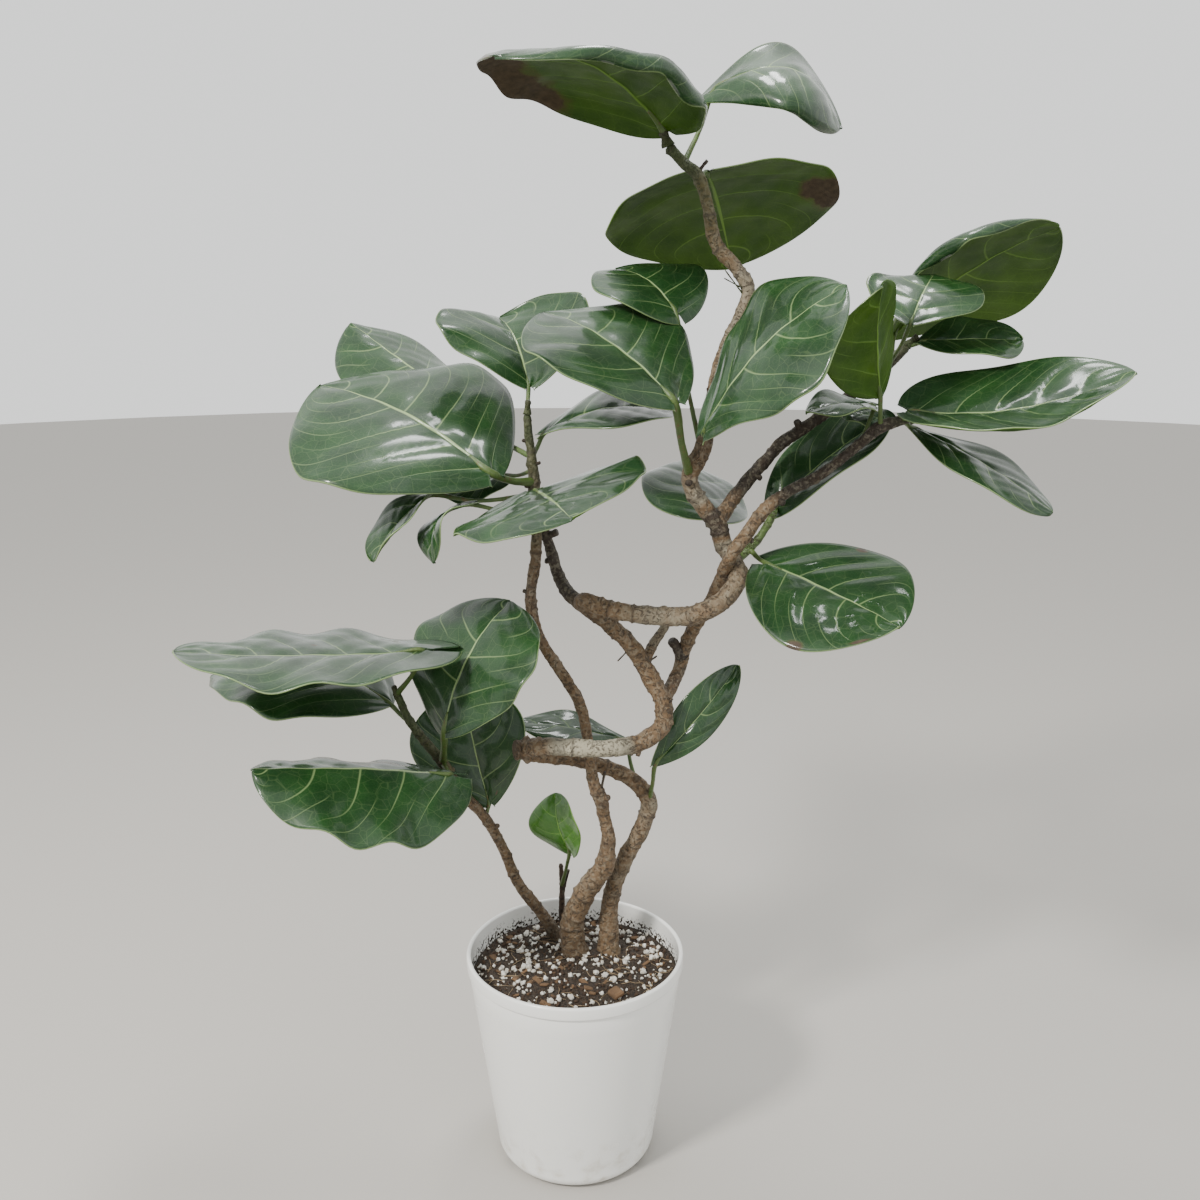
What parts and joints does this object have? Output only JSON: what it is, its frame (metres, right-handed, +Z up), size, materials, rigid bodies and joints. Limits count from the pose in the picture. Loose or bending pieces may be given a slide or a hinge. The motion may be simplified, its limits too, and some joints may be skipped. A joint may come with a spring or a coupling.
{
  "type": "potted sea grape tree",
  "caption": "Small indoor tree with twisted woody stems and large leathery leaves, growing in a tapered white plastic pot.",
  "frame": {"origin": "centre of the pot's foot, on the surface the pot stands on", "axes": "+Z up, +X to the tree's right seen from its front, -Y towards its front"},
  "size_m": [0.9224, 0.3862, 1.1894],
  "materials": {
    "pot_plastic": "gloss",
    "potting_mix": "matte",
    "bark": "matte",
    "dead_wood": "matte",
    "green_bark": "satin",
    "leaf": "gloss",
    "young_leaf": "satin"
  },
  "bodies": {
    "root": {"pot": "pot_plastic", "soil": "potting_mix", "twisted_trunk": "bark", "slender_trunk": "bark", "left_stem": "bark", "dead_shoot": "dead_wood", "short_stem": "bark", "stub_branch": "bark", "upper_branch": "bark", "lower_branch": "bark", "green_shoot": "green_bark", "leaf_01": "leaf", "leaf_02": "leaf", "leaf_03": "leaf", "leaf_04": "leaf", "leaf_05": "leaf", "leaf_06": "leaf", "leaf_07": "leaf", "leaf_08": "leaf", "leaf_09": "leaf", "leaf_10": "leaf", "leaf_11": "leaf", "leaf_12": "leaf", "leaf_13": "leaf", "leaf_14": "leaf", "leaf_15": "leaf", "leaf_16": "leaf", "leaf_17": "leaf", "leaf_18": "leaf", "leaf_19": "leaf", "leaf_20": "leaf", "leaf_21": "leaf", "leaf_22": "leaf", "leaf_23": "leaf", "leaf_24": "leaf", "leaf_25": "leaf", "leaf_26": "leaf", "leaf_27": "leaf", "leaf_28": "leaf", "leaf_29": "leaf", "leaf_30": "leaf", "leaf_31": "leaf", "leaf_32": "leaf", "leaf_33": "young_leaf"}
  },
  "joints": []
}
